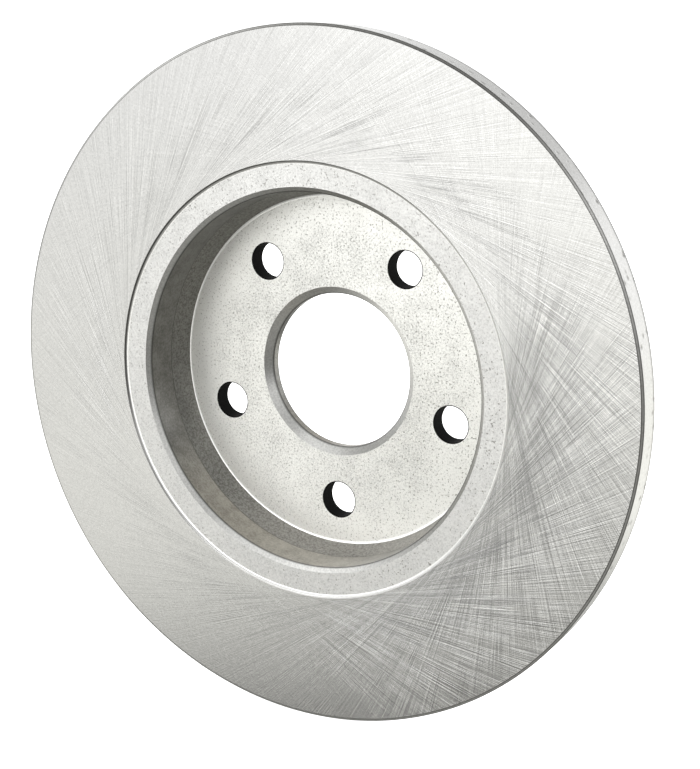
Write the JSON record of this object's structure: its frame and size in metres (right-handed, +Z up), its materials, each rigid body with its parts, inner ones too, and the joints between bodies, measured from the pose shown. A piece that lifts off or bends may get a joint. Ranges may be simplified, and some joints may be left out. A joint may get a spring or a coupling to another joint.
{
  "type": "brake disc rotor",
  "caption": "Solid brake disc with ground friction faces, a deep hat, a chamfered centre bore and stud holes in the flange.",
  "frame": {"origin": "on the spin axis, in the plane of the face that seats on the wheel hub", "axes": "+Y along the spin axis, outboard towards the wheel; +Z up, with one stud hole straight below the bore; +X to the right when seen from the hub side"},
  "size_m": [0.2936, 0.0362, 0.2936],
  "materials": {
    "grey_iron": "turned and cross-ground grey iron, uncoated, with as-cast iron left at the bottom of the hat's wall"
  },
  "bodies": {
    "root": {"rotor_casting": "grey_iron"}
  },
  "joints": []
}
